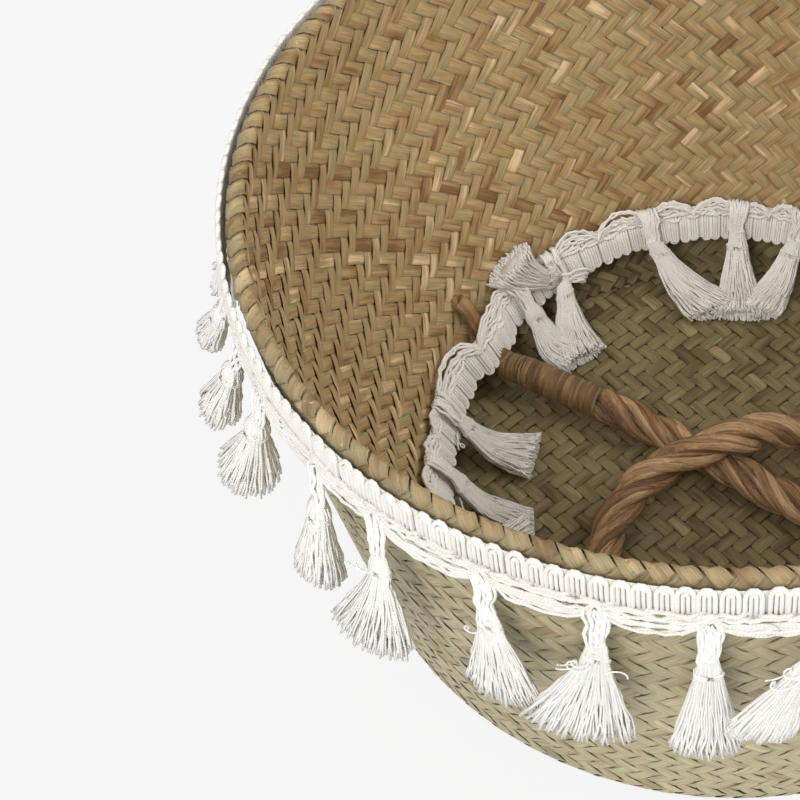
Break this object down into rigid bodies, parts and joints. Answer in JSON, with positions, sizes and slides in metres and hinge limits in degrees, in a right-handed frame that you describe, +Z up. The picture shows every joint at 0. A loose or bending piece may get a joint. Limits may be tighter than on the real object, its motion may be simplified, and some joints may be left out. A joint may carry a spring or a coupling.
{
  "type": "wicker storage basket",
  "caption": "Round plaited seagrass belly basket, top half folded down inside, with cotton tassel trim and two hinged rope handles.",
  "frame": {"origin": "centre of the underside of the base, on the surface that the basket stands on", "axes": "+Z up; -Y towards the viewer; +X to the right"},
  "size_m": [0.3327, 0.3332, 0.1808],
  "materials": {
    "seagrass": "plaited dry seagrass, matt with a slight sheen",
    "cotton": "matt cotton yarn",
    "rope": "twisted seagrass rope, slight sheen",
    "whipping": "wound seagrass strip, slight sheen"
  },
  "bodies": {
    "basket": {"woven_body": "seagrass", "fold_trim_braid": "cotton", "rim_trim_braid": "cotton", "fold_tassel_01": "cotton", "fold_tassel_02": "cotton", "fold_tassel_03": "cotton", "fold_tassel_04": "cotton", "fold_tassel_05": "cotton", "fold_tassel_06": "cotton", "fold_tassel_07": "cotton", "fold_tassel_08": "cotton", "fold_tassel_09": "cotton", "fold_tassel_10": "cotton", "fold_tassel_11": "cotton", "fold_tassel_12": "cotton", "fold_tassel_13": "cotton", "fold_tassel_14": "cotton", "fold_tassel_15": "cotton", "fold_tassel_16": "cotton", "fold_tassel_17": "cotton", "fold_tassel_18": "cotton", "fold_tassel_19": "cotton", "fold_tassel_20": "cotton", "fold_tassel_21": "cotton", "fold_tassel_22": "cotton", "fold_tassel_23": "cotton", "fold_tassel_24": "cotton", "fold_tassel_25": "cotton", "fold_tassel_26": "cotton", "fold_tassel_27": "cotton", "fold_tassel_28": "cotton", "fold_tassel_29": "cotton", "fold_tassel_30": "cotton", "fold_tassel_31": "cotton", "fold_tassel_32": "cotton", "fold_tassel_33": "cotton", "fold_tassel_34": "cotton", "rim_tassels_01": "cotton", "rim_tassels_02": "cotton", "rim_tassels_03": "cotton", "rim_tassels_04": "cotton", "rim_tassels_05": "cotton", "rim_tassels_06": "cotton", "rim_tassels_07": "cotton", "rim_tassels_08": "cotton", "rim_tassels_09": "cotton", "rim_tassels_10": "cotton", "rim_tassels_11": "cotton", "left_tail_back": "rope", "left_tail_front": "rope", "right_tail_front": "rope", "right_tail_back": "rope"},
    "left_handle": {"left_handle_rope": "rope", "left_whipping_back": "whipping", "left_whipping_front": "whipping"},
    "right_handle": {"right_handle_rope": "rope", "right_whipping_front": "whipping", "right_whipping_back": "whipping"}
  },
  "joints": [
    {"name": "left_handle_hinge", "type": "hinge", "parent": "basket", "child": "left_handle", "pos_m": [-0.07759, 0.04795, 0.014], "axis": [0.2321, -0.9727, 0], "range_deg": [0, 105]},
    {"name": "right_handle_hinge", "type": "hinge", "parent": "basket", "child": "right_handle", "pos_m": [0.07759, -0.04795, 0.014], "axis": [0.2321, -0.9727, 0], "range_deg": [0, 75]}
  ]
}
